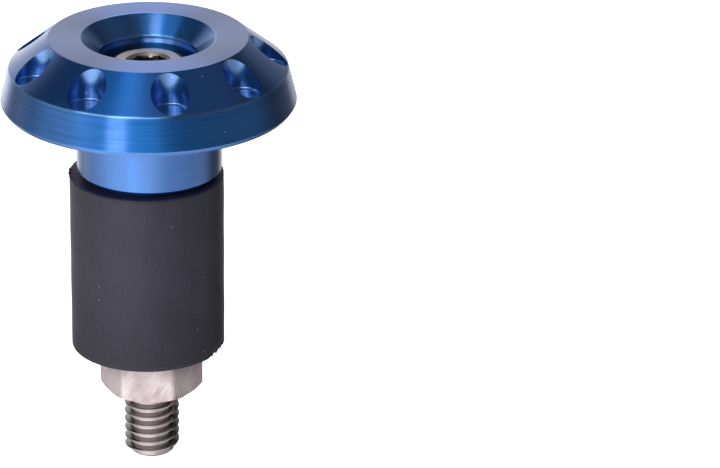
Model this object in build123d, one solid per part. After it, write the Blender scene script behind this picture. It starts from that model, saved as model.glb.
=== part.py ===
from build123d import *
import math
import os

# Bar end weight: a turned flange that caps the end of a handlebar tube, drawn in by one screw.
# Turning the screw pulls a nut up against a rubber sleeve, and the sleeve swells and grips the tube.
# Sizes are millimetres. The origin is the centre of the seat under the flange, +Z points out of the bar.

# Screw and nut, an M6 pair
thread_diameter = 5.95
thread_gap = 0.05
thread_stickout = 7.8
thread_lead_in = 0.6
screw_head_diameter = 10.0
screw_head_height = 6.0
screw_head_edge_radius = 1.5
socket_across_flats = 4.0
socket_depth = 3.0
socket_lead_in = 0.3
nut_across_flats = 9.8
nut_height = 5.2
nut_corner_rounding = 0.11
nut_bevel_height = 0.3
nut_bevel_deg = 30.0
nut_countersink = 0.35
nut_turn_deg = -5.0

# Flange of the weight, from its seat up to its face
flange_diameter = 31.5
flange_height = 7.4
seat_chamfer = 0.5
rim_taper = 0.9
face_diameter = 21.2
bevel_height = 3.35
ridge_edge_radius = 0.28
face_edge_radius = 0.15

# Recess in the face, where the screw head sits
recess_bevel = 1.9
screw_head_sink = 2.7
screw_head_gap = 0.25
shank_gap = 0.2

# Round pockets in the bevel
pocket_count = 9
pocket_margin = 0.125
pocket_floor_drop = 0.2
pocket_corner_radius = 0.25

# Neck under the flange
neck_diameter = 15.5
neck_length = 8.0
neck_chamfer = 0.7

# Rubber sleeve between the neck and the nut
sleeve_diameter = 16.5
sleeve_length = 19.9
sleeve_bore_gap = 0.4
sleeve_edge_radius = 0.2

# Radii and heights that follow from the sizes above
thread_radius = thread_diameter / 2
flange_radius = flange_diameter / 2
ridge_radius = flange_radius - rim_taper
ridge_z = flange_height - bevel_height
face_radius = face_diameter / 2
screw_head_radius = screw_head_diameter / 2
counterbore_radius = screw_head_radius + screw_head_gap
recess_mouth_radius = counterbore_radius + recess_bevel
screw_head_top_z = flange_height - screw_head_sink
screw_seat_z = screw_head_top_z - screw_head_height
neck_radius = neck_diameter / 2
neck_bottom_z = -neck_length
sleeve_bottom_z = neck_bottom_z - sleeve_length
nut_bottom_z = sleeve_bottom_z - nut_height
screw_end_z = nut_bottom_z - thread_stickout


def corner(face, radius, height):
    """The corner of a turning profile that lies at this radius and height."""
    return face.vertices().sort_by_distance((radius, 0, height))[0]


def profile(points):
    """A closed turning profile from (radius, height) points, in the plane through the axis."""
    return Plane.XZ * make_face(Polyline(*points, close=True))


def make_weight():
    """Flange and neck, turned from one bar and bored through for the screw."""
    outline = profile(
        [
            (thread_radius + shank_gap, neck_bottom_z),
            (neck_radius - neck_chamfer, neck_bottom_z),
            (neck_radius, neck_bottom_z + neck_chamfer),
            (neck_radius, 0),
            (flange_radius - seat_chamfer, 0),
            (flange_radius, seat_chamfer),
            (ridge_radius, ridge_z),
            (face_radius, flange_height),
            (recess_mouth_radius, flange_height),
            (counterbore_radius, flange_height - recess_bevel),
            (counterbore_radius, screw_seat_z),
            (thread_radius + shank_gap, screw_seat_z),
        ]
    )
    face_edges = [
        corner(outline, face_radius, flange_height),
        corner(outline, recess_mouth_radius, flange_height),
    ]
    outline = fillet(face_edges, face_edge_radius)
    outline = fillet(corner(outline, ridge_radius, ridge_z), ridge_edge_radius)
    turned = revolve(outline, Axis.Z)

    pocket_radius = (ridge_radius - face_radius) / 2 - pocket_margin
    pocket_circle_radius = (ridge_radius + face_radius) / 2
    pocket_floor_z = ridge_z - pocket_floor_drop
    cutter_height = 2 * flange_height
    cutter = Cylinder(pocket_radius, cutter_height, align=(Align.CENTER, Align.CENTER, Align.MIN))
    floor_edge = cutter.edges().sort_by(Axis.Z)[0]
    cutter = fillet(floor_edge, min(pocket_corner_radius, pocket_radius / 2))
    places = Pos(0, 0, pocket_floor_z) * PolarLocations(pocket_circle_radius, pocket_count)
    return turned - [place * cutter for place in places]


def make_screw():
    """Socket head cap screw, its thread a plain cylinder over the crests."""
    outline = profile(
        [
            (0, screw_end_z),
            (thread_radius - thread_lead_in, screw_end_z),
            (thread_radius, screw_end_z + thread_lead_in),
            (thread_radius, screw_seat_z),
            (screw_head_radius, screw_seat_z),
            (screw_head_radius, screw_head_top_z),
            (0, screw_head_top_z),
        ]
    )
    top_edge = corner(outline, screw_head_radius, screw_head_top_z)
    turned = revolve(fillet(top_edge, screw_head_edge_radius), Axis.Z)

    socket_corner_radius = socket_across_flats / math.sqrt(3)
    socket_floor_z = screw_head_top_z - socket_depth
    socket = Pos(0, 0, socket_floor_z) * extrude(RegularPolygon(socket_corner_radius, 6), socket_depth)
    mouth = Pos(0, 0, screw_head_top_z - socket_lead_in) * Cone(
        socket_corner_radius,
        socket_corner_radius + socket_lead_in,
        socket_lead_in,
        align=(Align.CENTER, Align.CENTER, Align.MIN),
    )
    return turned - socket - mouth


def make_sleeve():
    """Rubber tube that fills the space between the neck and the nut."""
    bore_radius = thread_radius + sleeve_bore_gap
    sleeve_radius = sleeve_diameter / 2
    outline = profile(
        [
            (bore_radius, sleeve_bottom_z),
            (sleeve_radius, sleeve_bottom_z),
            (sleeve_radius, neck_bottom_z),
            (bore_radius, neck_bottom_z),
        ]
    )
    outer_edges = [
        corner(outline, sleeve_radius, sleeve_bottom_z),
        corner(outline, sleeve_radius, neck_bottom_z),
    ]
    return revolve(fillet(outer_edges, sleeve_edge_radius), Axis.Z)


def make_nut():
    """Hexagon nut, bevelled on both faces and countersunk at both ends of its bore."""
    sharp_corner_radius = nut_across_flats / math.sqrt(3)
    nut_corner_radius = sharp_corner_radius - nut_corner_rounding
    nut_face_radius = nut_corner_radius - nut_bevel_height / math.tan(math.radians(nut_bevel_deg))
    bore_radius = thread_radius + thread_gap
    top_z = sleeve_bottom_z
    ring = profile(
        [
            (bore_radius + nut_countersink, nut_bottom_z),
            (nut_face_radius, nut_bottom_z),
            (nut_corner_radius, nut_bottom_z + nut_bevel_height),
            (nut_corner_radius, top_z - nut_bevel_height),
            (nut_face_radius, top_z),
            (bore_radius + nut_countersink, top_z),
            (bore_radius, top_z - nut_countersink),
            (bore_radius, nut_bottom_z + nut_countersink),
        ]
    )
    hexagon = RegularPolygon(sharp_corner_radius, 6, rotation=nut_turn_deg)
    return revolve(ring, Axis.Z) & (Pos(0, 0, nut_bottom_z) * extrude(hexagon, nut_height))


pieces = {
    "bar_weight": make_weight(),
    "clamp_screw": make_screw(),
    "rubber_sleeve": make_sleeve(),
    "clamp_nut": make_nut(),
}
os.makedirs("parts", exist_ok=True)
for name, piece in pieces.items():
    export_step(piece, f"parts/{name}.step")
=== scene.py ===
import bmesh
import bpy
import math
from mathutils import Matrix, Vector


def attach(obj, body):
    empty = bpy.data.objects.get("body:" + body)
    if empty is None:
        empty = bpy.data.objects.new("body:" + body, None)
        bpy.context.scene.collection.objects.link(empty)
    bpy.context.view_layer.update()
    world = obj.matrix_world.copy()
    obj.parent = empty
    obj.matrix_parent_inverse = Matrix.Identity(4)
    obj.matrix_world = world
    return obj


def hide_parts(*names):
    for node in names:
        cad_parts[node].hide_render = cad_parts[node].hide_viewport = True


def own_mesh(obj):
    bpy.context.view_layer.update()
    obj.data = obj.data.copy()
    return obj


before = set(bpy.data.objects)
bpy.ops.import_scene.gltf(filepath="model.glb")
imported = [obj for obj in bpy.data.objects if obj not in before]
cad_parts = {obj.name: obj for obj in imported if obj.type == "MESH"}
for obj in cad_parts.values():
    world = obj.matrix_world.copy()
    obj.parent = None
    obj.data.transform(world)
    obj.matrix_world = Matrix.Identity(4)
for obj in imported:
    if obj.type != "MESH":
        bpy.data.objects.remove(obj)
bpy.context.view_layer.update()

# The weight: flange and neck, turned from one bar of aluminium and bored for the screw.
# Nine blind pockets are milled into the bevel of the flange, then the piece is anodised blue.
# It is the part that shows at the end of the handlebar, with the neck pushed into the tube.

MM = 0.001
face_radius, face_z = 10.6, 7.4
ridge_radius, ridge_z = 14.85, 4.05
rim_radius, rim_foot_z = 15.75, 0.5
seat_radius = 15.42
neck_radius = 7.75
neck_bottom_z = -8.0
neck_chamfer = 0.7
shank_bore_radius = 3.175
screw_seat_z = -1.3
head_bore_radius, head_bore_top_z = 5.06, 4.8
counterbore_radius, recess_foot_z = 5.25, 5.5
second_bevel_radius, second_bevel_z = 5.23, 5.2
recess_radius = 7.15

# Corners of the turned outline as (radius, height, rounding), from the face's edge inwards and round
weight_corners = [
    (face_radius, face_z, 0.15),
    (recess_radius, face_z, 0.12),
    (counterbore_radius, recess_foot_z, 0.1),
    (second_bevel_radius, second_bevel_z, 0.03),
    (head_bore_radius, head_bore_top_z, 0.1),
    (head_bore_radius, screw_seat_z, 0.0),
    (shank_bore_radius, screw_seat_z, 0.1),
    (shank_bore_radius, neck_bottom_z, 0.1),
    (neck_radius - neck_chamfer, neck_bottom_z, 0.08),
    (neck_radius, neck_bottom_z + neck_chamfer, 0.08),
    (neck_radius, 0.0, 0.0),
    (seat_radius, 0.0, 0.06),
    (rim_radius, rim_foot_z, 0.12),
    (ridge_radius, ridge_z, 0.28),
]

pocket_count = 9
pocket_radius = 2.0
pocket_circle_radius = 12.725
pocket_floor_z = 3.85
pocket_corner_radius = 0.25
pocket_edge_break = 0.02
pocket_floor_radius = pocket_radius - pocket_corner_radius
pocket_wall_foot_z = pocket_floor_z + pocket_corner_radius
# Length of the tool's path at which a pocket's wall, corner and floor begin
wall_path, corner_path, floor_path = 60.0, 63.2, 64.0
wall_path_length, corner_path_length = 3.0, 0.4


def rounded_outline(corners, arc_steps=6):
    """The points of a closed turning outline, with an arc in place of each corner that has a rounding."""
    points = []
    for i, (radius, height, rounding) in enumerate(corners):
        here = Vector((radius, height))
        if rounding == 0:
            points.append(here)
            continue
        before = (Vector(corners[i - 1][:2]) - here).normalized()
        after = (Vector(corners[(i + 1) % len(corners)][:2]) - here).normalized()
        half_angle = before.angle(after) / 2
        centre = here + (before + after).normalized() * rounding / math.sin(half_angle)
        spoke = here + before * rounding / math.tan(half_angle) - centre
        turn = math.pi - 2 * half_angle
        if before.cross(after) > 0:
            turn = -turn
        for step in range(arc_steps + 1):
            points.append(centre + Matrix.Rotation(turn * step / arc_steps, 2) @ spoke)
    return points


def bevel_height(radius):
    """Height of the flange's bevel at this radius."""
    return face_z + (ridge_z - face_z) * (radius - face_radius) / (ridge_radius - face_radius)


def bridge(bm, row, next_row, closed=False):
    """Quads between two rows of vertices."""
    for k in range(len(row) if closed else len(row) - 1):
        j = (k + 1) % len(row)
        bm.faces.new((row[k], row[j], next_row[j], next_row[k]))


def weight_slice(steps=48, side_steps=16, bevel_steps=12, wall_steps=4, corner_steps=6):
    """One ninth of the weight, with the pocket at its middle on +X.

    Its UV map follows the tools: U is the turn about the tool's axis, V the length of the tool's path.
    """
    bm = bmesh.new()
    tool_map = bm.loops.layers.uv.new("tool_marks")
    milled_mark = bm.faces.layers.int.new("milled")
    path_at = {}

    def vertex(x, y, z, path):
        made = bm.verts.new((x * MM, y * MM, z * MM))
        path_at[made] = path
        return made

    # All that is turned except the bevel, from the face's edge inwards and round to the ridge
    half = math.pi / pocket_count
    angles = [half * (2 * k / steps - 1) for k in range(steps + 1)]
    outline = rounded_outline(weight_corners)
    rows = []
    path = 0.0
    for i, point in enumerate(outline):
        if i > 0:
            path += (point - outline[i - 1]).length
        rows.append([vertex(point.x * math.cos(a), point.x * math.sin(a), point.y, path) for a in angles])
    for row, next_row in zip(rows, rows[1:]):
        bridge(bm, row, next_row)
    turned_faces = set(bm.faces)

    # The bevel, rings of quads from the edge of the slice in to the pocket's mouth, where they crowd
    bevel_path = path + 1.0

    def bevel_vertex(x, y):
        radius = math.hypot(x, y)
        return vertex(x, y, bevel_height(radius), bevel_path + radius)

    def side(angle, from_radius, to_radius):
        radii = [from_radius + (to_radius - from_radius) * k / side_steps for k in range(1, side_steps)]
        return [bevel_vertex(radius * math.cos(angle), radius * math.sin(angle)) for radius in radii]

    inner, outer = outline[0].x, outline[-1].x
    border = rows[-1] + side(half, outer, inner) + rows[0][::-1] + side(-half, inner, outer)
    spokes = []
    for v in border:
        across = Vector((v.co.x / MM - pocket_circle_radius, v.co.y / MM))
        spokes.append((across.normalized(), across.length))

    def on_spoke(heading, distance):
        return pocket_circle_radius + heading.x * distance, heading.y * distance

    mouth = pocket_radius + pocket_edge_break
    rings = [border]
    for step in range(1, bevel_steps + 1):
        share = (1 - step / bevel_steps) ** 1.5
        spots = [on_spoke(heading, mouth + (reach - mouth) * share) for heading, reach in spokes]
        rings.append([bevel_vertex(*spot) for spot in spots])
    for ring, next_ring in zip(rings, rings[1:]):
        bridge(bm, ring, next_ring, closed=True)
    bevel_faces = set(bm.faces) - turned_faces

    # The pocket: a wall whose top follows the bevel, a rounded corner and a flat floor
    def pocket_ring(distance, height_at, path):
        spots = [on_spoke(heading, distance) for heading, _ in spokes]
        return [vertex(x, y, height_at(math.hypot(x, y)), path) for x, y in spots]

    def level(height):
        return lambda radius: height

    def down_wall(drop):
        def height_at(radius):
            top = bevel_height(radius) - pocket_edge_break
            return top + (pocket_wall_foot_z - top) * drop

        return height_at

    rings = [rings[-1]]
    for step in range(wall_steps):
        drop = step / wall_steps
        rings.append(pocket_ring(pocket_radius, down_wall(drop), wall_path + wall_path_length * drop))
    for step in range(corner_steps + 1):
        turn = math.pi / 2 * step / corner_steps
        distance = pocket_radius - pocket_corner_radius * (1 - math.cos(turn))
        height = pocket_wall_foot_z - pocket_corner_radius * math.sin(turn)
        path = corner_path + corner_path_length * step / corner_steps
        rings.append(pocket_ring(distance, level(height), path))
    for share in (0.8, 0.6, 0.4, 0.2):
        path = floor_path + pocket_floor_radius * (1 - share)
        rings.append(pocket_ring(pocket_floor_radius * share, level(pocket_floor_z), path))
    for ring, next_ring in zip(rings, rings[1:]):
        bridge(bm, ring, next_ring, closed=True)
    last = rings[-1]
    middle = vertex(pocket_circle_radius, 0, pocket_floor_z, floor_path + pocket_floor_radius)
    for k, v in enumerate(last):
        bm.faces.new((v, last[(k + 1) % len(last)], middle))

    # The UV map, whose U doesn't jump by a whole turn within a face
    for face in bm.faces:
        milled = face not in turned_faces and face not in bevel_faces
        face[milled_mark] = int(milled)
        first_turn = None
        for loop in face.loops:
            x, y = loop.vert.co.x / MM, loop.vert.co.y / MM
            path = bevel_path + math.hypot(x, y) if face in bevel_faces else path_at[loop.vert]
            if milled:
                x -= pocket_circle_radius
            turn = math.atan2(y, x) if math.hypot(x, y) > 1e-6 else first_turn
            first_turn = turn if first_turn is None else first_turn
            turn += 2 * math.pi * round((first_turn - turn) / (2 * math.pi))
            loop[tool_map].uv = (turn, path)

    mesh = bpy.data.meshes.new("weight_slice")
    bm.to_mesh(mesh)
    bm.free()
    return mesh


def set_inputs(tree, node, inputs):
    """Sets inputs of a node, each to a value or to the output socket of another node."""
    for key, value in inputs.items():
        if isinstance(value, bpy.types.NodeSocket):
            tree.links.new(value, node.inputs[key])
        else:
            node.inputs[key].default_value = value


def add_node(tree, kind, inputs=None, **settings):
    """A new node with these inputs and settings."""
    made = tree.nodes.new(kind)
    for name, value in settings.items():
        setattr(made, name, value)
    set_inputs(tree, made, inputs or {})
    return made


def add_math(tree, operation, a, b=0.0, c=0.0, **settings):
    """The result of a Math node."""
    return add_node(tree, "ShaderNodeMath", {0: a, 1: b, 2: c}, operation=operation, **settings).outputs[0]


def add_vector(tree, operation, inputs):
    """The outputs of a Vector Math node."""
    return add_node(tree, "ShaderNodeVectorMath", inputs, operation=operation).outputs


def add_mix(tree, factor, a, b):
    """The result of a colour Mix node."""
    return add_node(tree, "ShaderNodeMix", {"Factor": factor, 6: a, 7: b}, data_type="RGBA").outputs[2]


def add_blend(tree, factor, a, b):
    """The result of a Mix node for plain values."""
    return add_node(tree, "ShaderNodeMix", {"Factor": factor, "A": a, "B": b}, data_type="FLOAT").outputs[0]


def add_range(tree, value, to_min, to_max, from_min=0.0, from_max=1.0, **settings):
    """The result of a Map Range node."""
    source = {"Value": value, "From Min": from_min, "From Max": from_max}
    target = {"To Min": to_min, "To Max": to_max}
    return add_node(tree, "ShaderNodeMapRange", {**source, **target}, **settings).outputs[0]


def add_noise(tree, place, scale, detail, roughness=0.5):
    """The value of a Noise texture."""
    inputs = {"Vector": place, "Scale": scale, "Detail": detail, "Roughness": roughness}
    return add_node(tree, "ShaderNodeTexNoise", inputs).outputs[0]


def object_place(tree):
    """The point that is shaded, in the object's own coordinates."""
    return add_node(tree, "ShaderNodeTexCoord").outputs["Object"]


def axis_distance(tree, place):
    """How far a point is from the turning axis, and its height."""
    parts = add_node(tree, "ShaderNodeSeparateXYZ", {0: place}).outputs
    square = add_math(tree, "MULTIPLY", parts["X"], parts["X"])
    square = add_math(tree, "MULTIPLY_ADD", parts["Y"], parts["Y"], square)
    return add_math(tree, "SQRT", square), parts["Z"]


def geometry_tree(name, inputs):
    """A Geometry Nodes tree with a mesh in and out, and these (name, socket type, default) inputs."""
    tree = bpy.data.node_groups.new(name, "GeometryNodeTree")
    tree.interface.new_socket("Geometry", in_out="INPUT", socket_type="NodeSocketGeometry")
    for label, kind, default in inputs:
        made = tree.interface.new_socket(label, in_out="INPUT", socket_type=kind)
        if default is not None:
            made.default_value = default
    tree.interface.new_socket("Geometry", in_out="OUTPUT", socket_type="NodeSocketGeometry")
    return tree, add_node(tree, "NodeGroupInput").outputs


def finish_tree(tree, shape, material, sharp_deg, other_material=None, other_mark=None):
    """Ends a tree: instances made real, seams merged, edges sharper than sharp_deg kept, material set.

    Faces whose integer attribute other_mark isn't 0 get the other material.
    """
    real = add_node(tree, "GeometryNodeRealizeInstances", {"Geometry": shape})
    merged = add_node(tree, "GeometryNodeMergeByDistance", {"Geometry": real.outputs[0], "Distance": 1e-7})
    smooth = add_node(
        tree, "GeometryNodeSetShadeSmooth", {"Geometry": merged.outputs[0], "Shade Smooth": True}
    )
    angle = add_node(tree, "GeometryNodeInputMeshEdgeAngle")
    sharp = add_math(tree, "GREATER_THAN", angle.outputs["Unsigned Angle"], math.radians(sharp_deg))
    creased = add_node(
        tree,
        "GeometryNodeSetShadeSmooth",
        {"Geometry": smooth.outputs[0], "Selection": sharp, "Shade Smooth": False},
        domain="EDGE",
    )
    painted = add_node(
        tree, "GeometryNodeSetMaterial", {"Geometry": creased.outputs[0], "Material": material}
    )
    if other_mark:
        mark = add_node(tree, "GeometryNodeInputNamedAttribute", {"Name": other_mark}, data_type="INT")
        painted = add_node(
            tree,
            "GeometryNodeSetMaterial",
            {
                "Geometry": painted.outputs[0],
                "Selection": add_math(tree, "GREATER_THAN", mark.outputs["Attribute"], 0.5),
                "Material": other_material,
            },
        )
    add_node(tree, "NodeGroupOutput", {"Geometry": painted.outputs[0]})


def grown_piece(name, seed_mesh, tree, values):
    """A piece whose plain mesh is what the tree makes of the seed mesh, shaded by its larger faces."""
    seed = bpy.data.objects.new(name + "_seed", seed_mesh)
    bpy.context.collection.objects.link(seed)
    growth = seed.modifiers.new("growth", "NODES")
    growth.node_group = tree
    sockets = {item.name: item.identifier for item in tree.interface.items_tree if item.in_out == "INPUT"}
    for label, value in values.items():
        growth[sockets[label]] = value
    shading = seed.modifiers.new("shading", "WEIGHTED_NORMAL")
    shading.keep_sharp = True
    evaluated = seed.evaluated_get(bpy.context.evaluated_depsgraph_get())
    mesh = bpy.data.meshes.new_from_object(evaluated)
    mesh.name = name
    # Slots that the seed left empty go
    while None in list(mesh.materials):
        mesh.materials.pop(index=list(mesh.materials).index(None))
    bpy.data.objects.remove(seed)
    bpy.data.meshes.remove(seed_mesh)
    piece = bpy.data.objects.new(name, mesh)
    bpy.context.collection.objects.link(piece)
    return piece


def new_material(name):
    """A material with an empty tree, its Principled shader and its output."""
    material = bpy.data.materials.new(name)
    material.use_nodes = True
    tree = material.node_tree
    tree.nodes.clear()
    shader = add_node(tree, "ShaderNodeBsdfPrincipled")
    add_node(tree, "ShaderNodeOutputMaterial", {"Surface": shader.outputs[0]})
    return material, tree, shader


def shader_group(name, inputs, outputs):
    """A shader node group with these float inputs (name, default) and float outputs (name)."""
    tree = bpy.data.node_groups.new(name, "ShaderNodeTree")
    for label, default in inputs:
        made = tree.interface.new_socket(label, in_out="INPUT", socket_type="NodeSocketFloat")
        made.default_value = default
    for label in outputs:
        tree.interface.new_socket(label, in_out="OUTPUT", socket_type="NodeSocketFloat")
    return tree, add_node(tree, "NodeGroupInput").outputs


def add_group(tree, group, inputs):
    """The outputs of a shader node group."""
    return add_node(tree, "ShaderNodeGroup", inputs, node_tree=group).outputs


def turning_marks_group():
    """Marks left by a cutting tool: fine broken lines and a slower waviness along the tool's path."""
    tree, given = shader_group(
        "turning_marks",
        [("Path", 0.0), ("Lines", 5.0), ("Waves", 0.8), ("Breaks", 1.6)],
        ["Height", "Shade"],
    )
    flat = add_vector(tree, "MULTIPLY", {0: object_place(tree), 1: (1, 1, 0)})[0]
    heading = add_vector(tree, "NORMALIZE", {0: flat})[0]
    broken = add_vector(tree, "SCALE", {0: heading, "Scale": given["Breaks"]})[0]
    round_axis = add_node(tree, "ShaderNodeSeparateXYZ", {0: broken}).outputs

    def along(rate, shift):
        step = add_math(tree, "MULTIPLY_ADD", given["Path"], given[rate], shift)
        place = {"X": round_axis["X"], "Y": round_axis["Y"], "Z": step}
        spot = add_node(tree, "ShaderNodeCombineXYZ", place).outputs[0]
        noise = add_noise(tree, spot, scale=1.0, detail=2.0, roughness=0.6)
        return add_range(tree, noise, 0.0, 1.0, from_min=0.22, from_max=0.78)

    lines = along("Lines", 3.7)
    waves = along("Waves", 11.3)
    height = add_math(tree, "MULTIPLY_ADD", waves, 2.0, lines)
    add_node(tree, "NodeGroupOutput", {"Height": height, "Shade": lines})
    return tree


def dust_group():
    """Dust: a few specks of uneven size, each on its own random spot.

    Cell is a length in millimetres and holds one spot. Size is a share of it.
    """
    tree, given = shader_group("dust", [("Cell", 1.1), ("Size", 0.085), ("Share", 0.22)], ["Mask"])
    per_metre = add_math(tree, "DIVIDE", 1 / MM, given["Cell"])
    cells = add_node(
        tree,
        "ShaderNodeTexVoronoi",
        {"Vector": object_place(tree), "Scale": per_metre, "Randomness": 1.0},
    ).outputs
    chance = add_node(tree, "ShaderNodeSeparateColor", {0: cells["Color"]}).outputs
    size = add_math(tree, "MULTIPLY", chance[1], given["Size"])
    near = add_math(tree, "LESS_THAN", cells["Distance"], size)
    kept = add_math(tree, "LESS_THAN", chance[0], given["Share"])
    add_node(tree, "NodeGroupOutput", {"Mask": add_math(tree, "MULTIPLY", near, kept)})
    return tree


def edge_highlight_band_group():
    """The band along a turned edge that carries a painted highlight and a smoother finish: 1 near the edge,
    0 beyond the reach.
    """
    tree, given = shader_group(
        "edge_highlight_band", [("Edge Radius", 0.0), ("Edge Height", 0.0), ("Reach", 0.2 * MM)], ["Mask"]
    )
    radius, height = axis_distance(tree, object_place(tree))
    off_radius = add_math(tree, "SUBTRACT", radius, given["Edge Radius"])
    off_height = add_math(tree, "SUBTRACT", height, given["Edge Height"])
    off = add_node(tree, "ShaderNodeCombineXYZ", {"X": off_radius, "Y": off_height})
    distance = add_vector(tree, "LENGTH", {0: off.outputs[0]})["Value"]
    share = add_math(tree, "DIVIDE", distance, given["Reach"])
    near = add_math(tree, "SUBTRACT", 1.0, share, use_clamp=True)
    add_node(tree, "NodeGroupOutput", {"Mask": add_math(tree, "MULTIPLY", near, 2.0, use_clamp=True)})
    return tree


turning_marks = turning_marks_group()
dust = dust_group()
edge_highlight_band = edge_highlight_band_group()
face_dye = (0.038, 0.11, 0.37, 1)
# A paler blue along the ridge and the recess edges, a painted highlight
painted_edge_highlight_dye = (0.07, 0.24, 0.58, 1)
dust_on_blue = (0.75, 0.8, 0.9, 1)
burnished_roughness = 0.26
thickest_coat = 1.1
face_coat = 0.9
face_tolerance = 0.004
faint_share = 0.3
# Edges with a painted highlight and a smoother finish, as (radius, height, reach)
painted_highlight_edges = [
    (ridge_radius, ridge_z, 0.2),
    (recess_radius, face_z, 0.12),
    (counterbore_radius, recess_foot_z, 0.2),
]


def anodised_material(
    name, deepest, palest, bevel_dye, smoothest, roughest, mark_depth, thinnest_coat, anisotropy, metallic
):
    """Blue anodised aluminium: a dyed clear layer over metal that a tool left this rough."""
    material, tree, shader = new_material(name)
    along_tool = add_node(tree, "ShaderNodeUVMap", uv_map="tool_marks").outputs[0]
    path = add_node(tree, "ShaderNodeSeparateXYZ", {0: along_tool}).outputs["Y"]
    marks = add_group(tree, turning_marks, {"Path": path, "Lines": 5.0, "Waves": 0.8})

    radius, height = axis_distance(tree, object_place(tree))
    above_seat = add_math(tree, "GREATER_THAN", height, 0.0)
    above_ridge = add_math(tree, "GREATER_THAN", height, ridge_z * MM)
    on_face = add_math(tree, "GREATER_THAN", height, (face_z - face_tolerance) * MM)
    outside_face = add_math(tree, "GREATER_THAN", radius, face_radius * MM)
    on_bevel = add_math(tree, "MULTIPLY", above_ridge, outside_face)
    on_rim = add_math(tree, "GREATER_THAN", radius, ridge_radius * MM)
    edge_highlight_and_polish = 0.0
    for edge_radius, edge_z, reach in painted_highlight_edges:
        edge = {"Edge Radius": edge_radius * MM, "Edge Height": edge_z * MM, "Reach": reach * MM}
        edge_highlight_and_polish = add_math(tree, "MAXIMUM", edge_highlight_and_polish, add_group(tree, edge_highlight_band, edge)["Mask"])

    # The lines show fully on the rim, and faintly elsewhere
    faint = add_math(tree, "MULTIPLY_ADD", marks["Shade"], faint_share, (1 - faint_share) / 2)
    shade = add_blend(tree, on_rim, faint, marks["Shade"])
    dye = add_mix(tree, shade, deepest, palest)
    dye = add_mix(tree, on_bevel, dye, bevel_dye)
    dye = add_mix(tree, on_face, dye, face_dye)
    # The paler dye along the edges is a painted highlight
    dye = add_mix(tree, edge_highlight_and_polish, dye, painted_edge_highlight_dye)
    specks = add_group(tree, dust, {"Cell": 1.1, "Size": 0.085, "Share": 0.22})["Mask"]
    specks = add_math(tree, "MULTIPLY", specks, above_seat)
    cut = add_range(tree, shade, smoothest, roughest)
    coat = add_range(tree, shade, thinnest_coat, thickest_coat)
    relief = add_math(tree, "MULTIPLY", marks["Height"], add_math(tree, "SUBTRACT", 1.0, edge_highlight_and_polish))
    bump = add_node(tree, "ShaderNodeBump", {"Height": relief, "Strength": 1.0, "Distance": mark_depth})
    round_tool_axis = add_node(tree, "ShaderNodeTangent", direction_type="UV_MAP", uv_map="tool_marks")
    set_inputs(
        tree,
        shader,
        {
            "Base Color": add_mix(tree, specks, dye, dust_on_blue),
            "Metallic": metallic,
            "Roughness": add_blend(tree, edge_highlight_and_polish, cut, burnished_roughness),
            "Normal": bump.outputs[0],
            "Tangent": round_tool_axis.outputs[0],
            "Anisotropic": anisotropy,
            "Anisotropic Rotation": 0.25,
            "Coat Weight": add_blend(tree, on_face, coat, face_coat),
            "Coat Roughness": 0.16,
            "Coat IOR": 1.7,
        },
    )
    return material


blue_turned = anodised_material(
    "blue_anodised_turned",
    deepest=(0.011, 0.11, 0.37, 1),
    palest=(0.019, 0.165, 0.525, 1),
    bevel_dye=(0.012, 0.113, 0.405, 1),
    smoothest=0.3,
    roughest=0.36,
    mark_depth=4e-6,
    thinnest_coat=0.45,
    anisotropy=0.92,
    metallic=1.0,
)
blue_milled = anodised_material(
    "blue_anodised_milled",
    deepest=(0.032, 0.165, 0.455, 1),
    palest=(0.032, 0.168, 0.465, 1),
    bevel_dye=(0.032, 0.165, 0.46, 1),
    smoothest=0.265,
    roughest=0.275,
    mark_depth=1e-8,
    thinnest_coat=1.06,
    anisotropy=0.0,
    metallic=0.85,
)


def pockets_round_the_flange():
    """Nodes that set the slice round the axis, once for each pocket, and join the copies."""
    tree, given = geometry_tree(
        "pockets_round_the_flange",
        [
            ("Pockets", "NodeSocketInt", pocket_count),
            ("Turned Finish", "NodeSocketMaterial", None),
            ("Milled Finish", "NodeSocketMaterial", None),
        ],
    )
    places = add_node(tree, "GeometryNodePoints", {"Count": given["Pockets"]})
    step_angle = add_math(tree, "DIVIDE", 2 * math.pi, given["Pockets"])
    turn = add_math(tree, "MULTIPLY", add_node(tree, "GeometryNodeInputIndex").outputs[0], step_angle)
    about_axis = add_node(tree, "ShaderNodeCombineXYZ", {"Z": turn})
    slices = add_node(
        tree,
        "GeometryNodeInstanceOnPoints",
        {"Points": places.outputs[0], "Instance": given["Geometry"], "Rotation": about_axis.outputs[0]},
    )
    finish_tree(
        tree,
        slices.outputs[0],
        given["Turned Finish"],
        sharp_deg=35,
        other_material=given["Milled Finish"],
        other_mark="milled",
    )
    return tree


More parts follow.
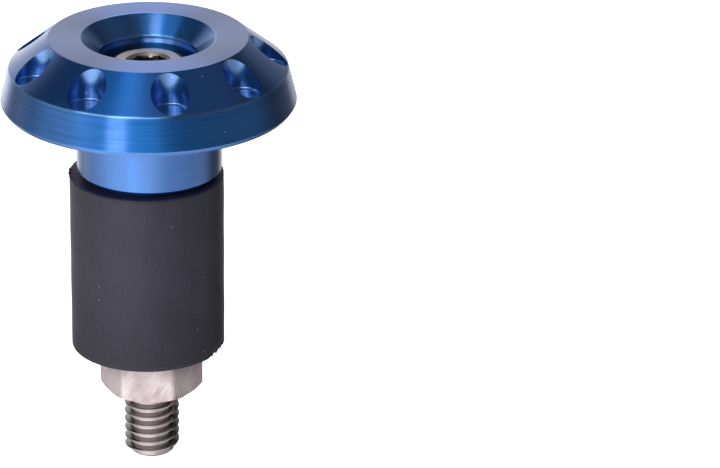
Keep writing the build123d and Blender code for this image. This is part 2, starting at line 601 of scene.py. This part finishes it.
def true_normals(mesh):
    """Gives the bevel and the pockets their exact normals, which the faces beside them would bend."""
    slope = Vector((face_z - ridge_z, ridge_radius - face_radius)).normalized()
    pocket_step = 2 * math.pi / pocket_count
    tolerance = 1e-4
    normals = [corner.vector.copy() for corner in mesh.corner_normals]
    milled = [mark.value for mark in mesh.attributes["milled"].data]
    for face in mesh.polygons:
        for index in face.loop_indices:
            x, y, z = mesh.vertices[mesh.loops[index].vertex_index].co / MM
            radius = math.hypot(x, y)
            if milled[face.index]:
                turn = round(math.atan2(y, x) / pocket_step) * pocket_step
                middle_x = pocket_circle_radius * math.cos(turn)
                middle_y = pocket_circle_radius * math.sin(turn)
                across = Vector((x - middle_x, y - middle_y))
                distance = across.length
                if distance > pocket_floor_radius + tolerance:
                    lean = min(max(pocket_wall_foot_z - z, 0.0) / pocket_corner_radius, 1.0)
                    inwards = -across / distance * math.sqrt(1 - lean**2)
                    normals[index] = Vector((inwards.x, inwards.y, lean))
                else:
                    normals[index] = Vector((0, 0, 1))
            elif face_radius < radius < ridge_radius and abs(z - bevel_height(radius)) < tolerance:
                normals[index] = Vector((slope.x * x / radius, slope.x * y / radius, slope.y))
    mesh.normals_split_custom_set(normals)


weight = grown_piece(
    "weight",
    weight_slice(),
    pockets_round_the_flange(),
    {"Pockets": pocket_count, "Turned Finish": blue_turned, "Milled Finish": blue_milled},
)
true_normals(weight.data)
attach(weight, "weight")
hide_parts("bar_weight")

# The screw: an M6 screw of polished stainless steel, with a hexagon socket in its domed head.
# Its head sits on a hidden seat in the flange's recess, and its rolled thread draws the nut up.

screw_head_radius = 5.0
screw_head_top_z = 4.7
screw_head_round = 1.5
under_head_edge = 0.1
head_fillet = 0.15
socket_across_flats = 4.0
socket_corner_rounding = 0.1
socket_depth = 3.0
socket_floor_edge = 0.15
socket_edge_break = 0.03
socket_mouth_radius, socket_mouth_break = 2.42, 0.04
drill_radius, drill_depth = 1.5, 0.9
thread_crest_radius = 2.975
thread_core_radius = 2.39
thread_pitch = 1.0
thread_turns = 20.0
thread_start_z, thread_top_z = -40.67, -19.0
thread_run_out = 1.0
screw_end_z = -40.9
screw_end_radius = 2.375
core_chamfer = 0.2
deep_steel, pale_steel = (0.23, 0.203, 0.207, 1), (0.36, 0.32, 0.325, 1)
# A paler steel for the flat of the head, a painted sheen
painted_sheen_steel = (0.45, 0.4, 0.37, 1)


def hexagon_radius(angle, across_flats, rounding, turn_deg=0.0):
    """Distance from the middle of a hexagon with rounded corners to its edge, at this angle."""
    apothem = across_flats / 2
    sixth = math.pi / 3
    off_flat = (angle - math.radians(turn_deg)) % sixth - sixth / 2
    off_corner = sixth / 2 - abs(off_flat)
    along_flat = apothem * math.tan(abs(off_flat))
    if along_flat <= (apothem - rounding) * math.tan(sixth / 2):
        return apothem / math.cos(off_flat)
    to_centre = (apothem - rounding) / math.cos(sixth / 2)
    across = to_centre * math.sin(off_corner)
    return to_centre * math.cos(off_corner) + math.sqrt(rounding**2 - across**2)


def lofted_mesh(name, rings, steps, closed=False):
    """A mesh lofted through rings about the Z axis, each a function from an angle to (radius, height).

    A ring whose radius is zero all round is one vertex. A closed loft joins its last ring to its first.
    """
    bm = bmesh.new()
    angles = [2 * math.pi * k / steps for k in range(steps)]
    rows = []
    for ring in rings:
        spots = [ring(angle) for angle in angles]
        if max(radius for radius, height in spots) < 1e-6:
            rows.append([bm.verts.new((0, 0, spots[0][1] * MM))])
            continue
        row = []
        for angle, (radius, height) in zip(angles, spots):
            x, y = radius * math.cos(angle), radius * math.sin(angle)
            row.append(bm.verts.new((x * MM, y * MM, height * MM)))
        rows.append(row)
    pairs = list(zip(rows, rows[1:]))
    if closed:
        pairs.append((rows[-1], rows[0]))
    for row, next_row in pairs:
        if len(row) == 1:
            for k in range(steps):
                bm.faces.new((row[0], next_row[(k + 1) % steps], next_row[k]))
        elif len(next_row) == 1:
            for k in range(steps):
                bm.faces.new((row[k], row[(k + 1) % steps], next_row[0]))
        else:
            bridge(bm, row, next_row, closed=True)
    bmesh.ops.recalc_face_normals(bm, faces=bm.faces)
    mesh = bpy.data.meshes.new(name)
    bm.to_mesh(mesh)
    bm.free()
    return mesh


def circle(radius, height):
    """A plain ring for lofted_mesh."""
    return lambda angle: (radius, height)


def screw_blank(arc_steps=10):
    """The screw before its thread is rolled: head, socket, shank and the core under the thread."""

    def socket(angle):
        return hexagon_radius(angle, socket_across_flats, socket_corner_rounding)

    def lead_in(angle):
        return screw_head_top_z - (socket_mouth_radius - socket(angle))

    socket_floor_z = screw_head_top_z - socket_depth
    head_flat_radius = screw_head_radius - screw_head_round
    rings = [
        circle(0, socket_floor_z - drill_depth),
        circle(drill_radius, socket_floor_z - socket_floor_edge),
        lambda angle: (socket(angle) - socket_floor_edge, socket_floor_z),
        lambda angle: (socket(angle), socket_floor_z + socket_floor_edge),
        lambda angle: (socket(angle), lead_in(angle) - socket_edge_break),
        lambda angle: (socket(angle) + socket_edge_break, lead_in(angle)),
        circle(socket_mouth_radius, screw_head_top_z - socket_edge_break),
        circle(socket_mouth_radius + socket_mouth_break, screw_head_top_z),
    ]
    for step in range(arc_steps + 1):
        turn = math.pi / 2 * step / arc_steps
        radius = head_flat_radius + screw_head_round * math.sin(turn)
        rings.append(circle(radius, screw_head_top_z - screw_head_round * (1 - math.cos(turn))))
    rings += [
        circle(screw_head_radius, screw_seat_z + under_head_edge),
        circle(screw_head_radius - under_head_edge, screw_seat_z),
        circle(thread_crest_radius + head_fillet, screw_seat_z),
        circle(thread_crest_radius, screw_seat_z - head_fillet),
        circle(thread_crest_radius, thread_top_z),
        circle(thread_core_radius, thread_top_z - thread_run_out),
        circle(thread_core_radius, screw_end_z + core_chamfer),
        circle(thread_core_radius - core_chamfer, screw_end_z),
        circle(0, screw_end_z),
    ]
    return lofted_mesh("screw_blank", rings, steps=180)


thread_sizes = {
    "Pitch": thread_pitch * MM,
    "Turns": thread_turns,
    "Core Radius": thread_core_radius * MM,
    "Crest Radius": thread_crest_radius * MM,
    "Start Height": thread_start_z * MM,
    "End Height": screw_end_z * MM,
    "End Radius": screw_end_radius * MM,
}


def rolled_thread():
    """Nodes that sweep a ridge along a helix, with a lead-in at its end, and join it to the blank."""
    sockets = [(label, "NodeSocketFloat", size) for label, size in thread_sizes.items()]
    tree, given = geometry_tree("rolled_thread", sockets + [("Finish", "NodeSocketMaterial", None)])

    # The ridge is a trapezoid with its foot sunk a little into the core
    ridge_sink = 0.06 * MM
    foot_share, crest_share = 0.81, 0.13
    crest_rounding = 0.05 * MM
    steps_per_turn = 72
    depth = add_math(tree, "SUBTRACT", given["Crest Radius"], given["Core Radius"])
    ridge_height = add_math(tree, "ADD", depth, ridge_sink)
    ridge_middle = add_math(tree, "MULTIPLY_ADD", ridge_height, -0.5, given["Crest Radius"])
    ridge = add_node(
        tree,
        "GeometryNodeCurvePrimitiveQuadrilateral",
        {
            "Height": ridge_height,
            "Bottom Width": add_math(tree, "MULTIPLY", given["Pitch"], foot_share),
            "Top Width": add_math(tree, "MULTIPLY", given["Pitch"], crest_share),
            "Offset": 0.0,
        },
        mode="TRAPEZOID",
    )
    softened = add_node(
        tree,
        "GeometryNodeFilletCurve",
        {"Curve": ridge.outputs[0], "Radius": crest_rounding, "Limit Radius": True, "Count": 2},
        mode="POLY",
    )
    outwards = add_node(
        tree, "GeometryNodeTransform", {"Geometry": softened.outputs[0], "Rotation": (0, 0, -math.pi / 2)}
    )
    helix = add_node(
        tree,
        "GeometryNodeCurveSpiral",
        {
            "Resolution": steps_per_turn,
            "Rotations": given["Turns"],
            "Start Radius": ridge_middle,
            "End Radius": ridge_middle,
            "Height": add_math(tree, "MULTIPLY", given["Turns"], given["Pitch"]),
            "Reverse": True,
        },
    )
    upright = add_node(tree, "GeometryNodeSetCurveNormal", {"Curve": helix.outputs[0]}, mode="Z_UP")
    swept = add_node(
        tree,
        "GeometryNodeCurveToMesh",
        {"Curve": upright.outputs[0], "Profile Curve": outwards.outputs[0], "Fill Caps": True},
    )
    lift = add_node(tree, "ShaderNodeCombineXYZ", {"Z": given["Start Height"]})
    placed = add_node(
        tree, "GeometryNodeTransform", {"Geometry": swept.outputs[0], "Translation": lift.outputs[0]}
    )

    # The lead-in: no crest stands out of a cone that opens from the end face
    spot = add_node(tree, "GeometryNodeInputPosition").outputs[0]
    parts = add_node(tree, "ShaderNodeSeparateXYZ", {0: spot}).outputs
    flat_spot = add_node(tree, "ShaderNodeCombineXYZ", {"X": parts["X"], "Y": parts["Y"]})
    radius = add_vector(tree, "LENGTH", {0: flat_spot.outputs[0]})["Value"]
    above_end = add_math(tree, "SUBTRACT", parts["Z"], given["End Height"])
    allowed = add_math(tree, "ADD", given["End Radius"], add_math(tree, "MAXIMUM", above_end, 0.0))
    shrink = add_math(tree, "MINIMUM", add_math(tree, "DIVIDE", allowed, radius), 1.0)
    inside_cone = add_node(
        tree,
        "ShaderNodeCombineXYZ",
        {
            "X": add_math(tree, "MULTIPLY", parts["X"], shrink),
            "Y": add_math(tree, "MULTIPLY", parts["Y"], shrink),
            "Z": add_math(tree, "MAXIMUM", parts["Z"], given["End Height"]),
        },
    )
    led_in = add_node(
        tree,
        "GeometryNodeSetPosition",
        {"Geometry": placed.outputs[0], "Position": inside_cone.outputs[0]},
    )
    whole = add_node(tree, "GeometryNodeJoinGeometry")
    tree.links.new(led_in.outputs[0], whole.inputs[0])
    tree.links.new(given["Geometry"], whole.inputs[0])
    finish_tree(tree, whole.outputs[0], given["Finish"], sharp_deg=25)
    return tree


def polished_steel_material():
    """Polished stainless steel, a little warm and uneven, with a rougher flat on top of the head that is
    painted paler, a painted sheen.
    """
    material, tree, shader = new_material("polished_steel")
    place = object_place(tree)
    cloud = add_noise(tree, place, scale=900.0, detail=3.0)
    radius, height = axis_distance(tree, place)
    # Where the head's flat is: rougher, and painted paler as a painted sheen of the light from above
    flat_foot_z = screw_head_top_z - 0.28
    flat_radius = screw_head_radius - screw_head_round + 0.03
    near_top = add_math(tree, "GREATER_THAN", height, flat_foot_z * MM)
    inside_dome = add_math(tree, "LESS_THAN", radius, flat_radius * MM)
    on_flat = add_math(tree, "MULTIPLY", near_top, inside_dome)
    tone = add_mix(tree, cloud, deep_steel, pale_steel)
    polish = add_range(tree, cloud, 0.06, 0.18)
    set_inputs(
        tree,
        shader,
        {
            "Base Color": add_mix(tree, on_flat, tone, painted_sheen_steel),
            "Metallic": 1.0,
            "Roughness": add_blend(tree, on_flat, polish, 0.38),
        },
    )
    return material


polished_steel = polished_steel_material()
screw = grown_piece("screw", screw_blank(), rolled_thread(), {**thread_sizes, "Finish": polished_steel})
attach(screw, "screw")
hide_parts("clamp_screw")

# The sleeve: a cut length of black rubber tube, loose on the screw between the neck and the nut.
# The cutter left a little ragged flash on its rims. It swells against the bar when it is squeezed.

sleeve_radius = 8.25
sleeve_bore_radius = 3.4
sleeve_top_z = -8.0
sleeve_bottom_z = -27.9
sleeve_shift_x = -0.3
# Where flash stands on each rim, as (middle, spread) in degrees
top_flash = (182, 14)
bottom_flash = (338, 16)
# The rounding of a rim as (inset, distance from the end), from the end outwards
rim_arc = [(0.1, 0.0), (0.03, 0.03), (0.0, 0.1)]
# Tones of the rubber, and the heights over which a painted shade darkens the tube towards its lower end
deep_and_shaded_black, chalky_black = (0.009, 0.008, 0.019, 1), (0.025, 0.0225, 0.048, 1)
dust_on_black = (0.24, 0.23, 0.23, 1)
deepest_shade_z, shade_ends_z = -28.0, -17.0


def plain_mesh_piece(name, mesh, material, sharp_deg):
    """A piece of a finished mesh, smooth but for edges sharper than sharp_deg."""
    mesh.materials.append(material)
    mesh.shade_smooth()
    mesh.set_sharp_from_angle(angle=math.radians(sharp_deg))
    piece = bpy.data.objects.new(name, mesh)
    bpy.context.collection.objects.link(piece)
    return piece


def flash(angle, middle_deg, spread_deg):
    """Height of the ragged flash on a rim, 0 to 1, round one place of it."""
    off = (math.degrees(angle) - middle_deg + 180) % 360 - 180
    if abs(off) >= spread_deg:
        return 0.0
    teeth = 0.55 + 0.3 * math.sin(1.9 * off) + 0.25 * math.sin(0.83 * off + 1.0)
    return max(0.0, teeth) * (1 - (off / spread_deg) ** 2)


def sleeve_rings(wall_steps=24):
    """Rings of the tube, from its bore over the top rim, down the outside and under the bottom rim."""

    def wall(height, inset=0.0):
        def ring(angle):
            wobble = 0.02 * math.sin(2 * angle + 0.5) + 0.012 * math.sin(5 * angle + height)
            return sleeve_radius - inset + wobble, height

        return ring

    def rim(end_z, inset, rise, flash_at, flash_out, flash_up):
        def ring(angle):
            lip = flash(angle, *flash_at)
            radius, _ = wall(end_z, inset)(angle)
            return radius + flash_out * lip, end_z + rise + flash_up * lip

        return ring

    # A ring a little way off each rim, on its end and on the wall, keeps the flash to the rim
    rings = [
        circle(sleeve_bore_radius, sleeve_bottom_z),
        circle(sleeve_bore_radius, sleeve_top_z),
        circle(sleeve_radius - 1.0, sleeve_top_z),
        wall(sleeve_top_z, inset=0.4),
    ]
    for inset, drop in rim_arc:
        rings.append(rim(sleeve_top_z, inset, -drop, top_flash, flash_out=0.12, flash_up=0.22))
    upper, lower = sleeve_top_z - 0.4, sleeve_bottom_z + 0.6
    rings += [wall(upper + (lower - upper) * k / wall_steps) for k in range(wall_steps + 1)]
    for inset, rise in rim_arc[::-1]:
        rings.append(rim(sleeve_bottom_z, inset, rise, bottom_flash, flash_out=-0.3, flash_up=0.25))
    rings.append(wall(sleeve_bottom_z, inset=0.5))
    return rings


def rubber_material():
    """Matt black rubber, a little chalky, with dust specks and faint scuffs along the tube.

    Towards its lower end it is rougher, and darker by a painted shade.
    """
    material, tree, shader = new_material("black_rubber")
    place = object_place(tree)
    stretched = add_node(tree, "ShaderNodeMapping", {"Vector": place, "Scale": (1, 1, 0.25)})
    scuffs = add_noise(tree, stretched.outputs[0], scale=500.0, detail=4.0, roughness=0.65)
    grain = add_noise(tree, place, scale=5000.0, detail=3.0, roughness=0.6)
    specks = add_group(tree, dust, {"Cell": 0.7, "Size": 0.1, "Share": 0.3})["Mask"]
    height = add_node(tree, "ShaderNodeSeparateXYZ", {0: place}).outputs["Z"]
    # Painted shade: the tone darkens towards the tube's lower end
    shaded_lower_end = add_range(tree, height, -0.35, 0.0, from_min=deepest_shade_z * MM, from_max=shade_ends_z * MM)
    mottle = add_math(tree, "MULTIPLY_ADD", add_math(tree, "SUBTRACT", grain, 0.5), 1.2, scuffs)
    mottle_and_shade = add_math(tree, "ADD", mottle, shaded_lower_end)
    tone = add_mix(tree, mottle_and_shade, deep_and_shaded_black, chalky_black)
    worn = add_range(tree, scuffs, 0.42, 0.55)
    bump = add_node(tree, "ShaderNodeBump", {"Height": grain, "Strength": 1.0, "Distance": 2.2e-5})
    set_inputs(
        tree,
        shader,
        {
            "Base Color": add_mix(tree, specks, tone, dust_on_black),
            "Roughness": add_math(tree, "MULTIPLY_ADD", shaded_lower_end, -0.3, worn),
            "Normal": bump.outputs[0],
            "Specular IOR Level": 0.38,
        },
    )
    return material


black_rubber = rubber_material()
sleeve_mesh = lofted_mesh("sleeve", sleeve_rings(), steps=360, closed=True)
sleeve_mesh.transform(Matrix.Translation((sleeve_shift_x * MM, 0, 0)))
sleeve = plain_mesh_piece("sleeve", sleeve_mesh, black_rubber, sharp_deg=50)
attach(sleeve, "weight")
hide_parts("rubber_sleeve")
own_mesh(sleeve)

# The nut: a plain M6 hexagon nut of satin steel, bevelled on both faces.
# It bears on the sleeve's lower end and is drawn up as the screw turns in it.

nut_across_flats = 9.8
nut_corner_rounding = 0.55
nut_bevel_radius = 5.03
nut_bevel_slope = math.tan(math.radians(30))
nut_turn_deg = -5.0
nut_top_z = sleeve_bottom_z
nut_bottom_z = -33.1
nut_bore_radius = 3.025
nut_countersink = 0.35
nut_face_inset = 0.3
nut_edge = 0.06
nut_edge_break = 0.3 * nut_edge
stained_steel, clean_steel = (0.41, 0.32, 0.325, 1), (0.58, 0.52, 0.53, 1)


def nut_rings():
    """Rings of the nut, from its bore over the bottom face, up the flats and over the top face."""

    def flats(angle):
        return hexagon_radius(angle, nut_across_flats, nut_corner_rounding, nut_turn_deg)

    def on_face(end_z, inset):
        return lambda angle: (min(nut_bevel_radius, flats(angle)) - inset, end_z)

    def on_flats(end_z, inwards, inset, rise):
        def ring(angle):
            bevel = max(0.0, flats(angle) - nut_bevel_radius) * nut_bevel_slope
            return flats(angle) - inset, end_z + inwards * (bevel + rise)

        return ring

    rings = []
    for end_z, inwards in ((nut_bottom_z, 1), (nut_top_z, -1)):
        end = [
            circle(nut_bore_radius, end_z + inwards * nut_countersink),
            circle(nut_bore_radius + nut_countersink, end_z),
            on_face(end_z, nut_face_inset),
            on_face(end_z, nut_edge),
            on_flats(end_z, inwards, nut_edge_break, nut_edge_break),
            on_flats(end_z, inwards, 0.0, nut_edge),
        ]
        rings += end if inwards == 1 else end[::-1]
    return rings


def satin_steel_material():
    """Satin steel with a warm cast, faint stains and fine slanting scratches."""
    material, tree, shader = new_material("satin_steel")
    place = object_place(tree)
    cloud = add_noise(tree, place, scale=380.0, detail=5.0)
    slanted = add_node(
        tree,
        "ShaderNodeMapping",
        {"Vector": place, "Rotation": (0.0, math.radians(35), 0.0), "Scale": (1, 1, 8)},
        vector_type="TEXTURE",
    )
    scratches = add_noise(tree, slanted.outputs[0], scale=4500.0, detail=2.0)
    stain = add_math(tree, "MULTIPLY_ADD", scratches, 0.3, add_math(tree, "MULTIPLY", cloud, 0.7))
    stain = add_range(tree, stain, 0.0, 1.0, from_min=0.36, from_max=0.6)
    bump = add_node(tree, "ShaderNodeBump", {"Height": scratches, "Strength": 1.0, "Distance": 3e-6})
    set_inputs(
        tree,
        shader,
        {
            "Base Color": add_mix(tree, stain, stained_steel, clean_steel),
            "Metallic": 0.5,
            "Roughness": add_range(tree, stain, 0.58, 0.42),
            "Normal": bump.outputs[0],
        },
    )
    return material


satin_steel = satin_steel_material()
nut_mesh = lofted_mesh("nut", nut_rings(), steps=360, closed=True)
nut = plain_mesh_piece("nut", nut_mesh, satin_steel, sharp_deg=40)
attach(nut, "nut")
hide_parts("clamp_nut")

# The stage, which is no part of the object: a pale floor under the thread's end, soft studio light
# all round with two soft boxes in front, and a camera at the photograph's angle.

floor_z = screw_end_z * MM
floor_size = 4.0
floor_corners = [(-1, -1), (1, -1), (1, 1), (-1, 1)]
floor_mesh = bpy.data.meshes.new("floor")
floor_spots = [(x * floor_size, y * floor_size, floor_z) for x, y in floor_corners]
floor_mesh.from_pydata(floor_spots, [], [(0, 1, 2, 3)])
floor = bpy.data.objects.new("floor", floor_mesh)
bpy.context.collection.objects.link(floor)
floor_material, floor_tree, floor_shader = new_material("floor_paper")
set_inputs(
    floor_tree,
    floor_shader,
    {
        "Base Color": (0.85, 0.85, 0.86, 1),
        "Roughness": 0.9,
        "Emission Color": (1, 1, 1, 1),
        "Emission Strength": 0.9,
    },
)
floor_mesh.materials.append(floor_material)
floor.visible_glossy = False
floor.visible_diffuse = False


def direction(azimuth_deg, elevation_deg):
    """Unit vector towards this azimuth (0 is the camera's side, 90 its right hand) and elevation."""
    azimuth, elevation = math.radians(azimuth_deg), math.radians(elevation_deg)
    flat = math.cos(elevation)
    return Vector((math.sin(azimuth) * flat, -math.cos(azimuth) * flat, math.sin(elevation)))


# Soft light all round as (azimuth, elevation, full within, gone beyond, strength), angles in degrees
soft_boxes = [
    (176, 50, 9, 14, 3.8),
    (-166, 14, 4, 45, 0.8),
    (-72, 14, 4, 40, 0.6),
    (4, 67, 20, 23, 0.14),
    (-160, -19, 6, 24, 0.7),
    (162, -18, 5, 20, 0.5),
    (75, 28, 10, 52, 0.13),
    (142, 13, 4, 23, 0.2),
    (-116, 3, 4, 18, 0.25),
]
# Light off the floor in the same form; it fades out towards the horizon
floor_glow = [
    (-55, -33, 24, 76, 1.1),
    (-10, -41, 13, 72, 1.3),
    (78, -45, 5, 42, 0.9),
    (-128, -27, 4, 20, 0.4),
]
ambient = 0.05
floor_ambient = 0.1
backdrop_level = 0.97
world = bpy.data.worlds.new("studio")
bpy.context.scene.world = world
world.use_nodes = True
sky = world.node_tree
sky.nodes.clear()
towards = add_node(sky, "ShaderNodeTexCoord").outputs["Generated"]


def add_ramp(value, low, high, top=1.0):
    """A smooth ramp from 0 at low to top at high."""
    return add_range(sky, value, 0.0, top, from_min=low, from_max=high, interpolation_type="SMOOTHSTEP")


def add_glows(glows, base):
    """The sum of a base level and these soft glows."""
    total = base
    for azimuth, elevation, inner_deg, outer_deg, strength in glows:
        aim = add_vector(sky, "DOT_PRODUCT", {0: towards, 1: direction(azimuth, elevation)})["Value"]
        low, high = math.cos(math.radians(outer_deg)), math.cos(math.radians(inner_deg))
        total = add_math(sky, "ADD", add_ramp(aim, low, high, strength), total)
    return total


up = add_node(sky, "ShaderNodeSeparateXYZ", {0: towards}).outputs["Z"]
below_horizon = add_ramp(up, low=-0.02, high=-0.26)
from_floor = add_math(sky, "MULTIPLY", add_glows(floor_glow, floor_ambient), below_horizon)
all_light = add_math(sky, "ADD", add_glows(soft_boxes, ambient), from_floor)
seen = add_node(sky, "ShaderNodeLightPath").outputs["Is Camera Ray"]
level = add_blend(sky, seen, all_light, backdrop_level)
background = add_node(sky, "ShaderNodeBackground", {"Color": (1, 1, 1, 1), "Strength": level})
add_node(sky, "ShaderNodeOutputWorld", {"Surface": background.outputs[0]})
lamp_centre = Vector((0, 0, -10 * MM))


def area_light(name, azimuth, elevation, distance, width, height, power):
    """A rectangular soft box that faces the object."""
    data = bpy.data.lights.new(name, "AREA")
    data.shape = "RECTANGLE"
    data.size, data.size_y = width, height
    data.energy = power
    lamp = bpy.data.objects.new(name, data)
    towards_lamp = direction(azimuth, elevation)
    lamp.location = towards_lamp * distance + lamp_centre
    lamp.rotation_euler = towards_lamp.to_track_quat("Z", "Y").to_euler()
    bpy.context.collection.objects.link(lamp)


area_light("key_box", azimuth=-27, elevation=40, distance=0.7, width=0.85, height=0.46, power=2.95)
area_light("strip_box", azimuth=-25, elevation=35, distance=0.7, width=0.2, height=1.1, power=1.5)

# The camera stands in front, looks down on the flange, and has the object left of its centre
camera_distance = 452 * MM
camera_elevation_deg = 23.3
camera_elevation = math.radians(camera_elevation_deg)
aim_z = -14.6 * MM
camera_data = bpy.data.cameras.new("camera")
camera_data.sensor_width = 36.0
camera_data.lens = 209.745
camera = bpy.data.objects.new("camera", camera_data)
bpy.context.collection.objects.link(camera)
camera_y = -camera_distance * math.cos(camera_elevation)
camera_z = aim_z + camera_distance * math.sin(camera_elevation)
# Turns about the camera's own axes: the tilt, then the turn to the side, a fine tilt and a roll
camera_turns = [("X", 90 - camera_elevation_deg), ("Y", -2.864), ("X", -0.113), ("Z", -0.563)]
camera_place = Matrix.Translation((0, camera_y, camera_z))
for axis, degrees in camera_turns:
    camera_place = camera_place @ Matrix.Rotation(math.radians(degrees), 4, axis)
camera.matrix_world = camera_place
bpy.context.scene.camera = camera
bpy.context.scene.view_settings.view_transform = "Standard"
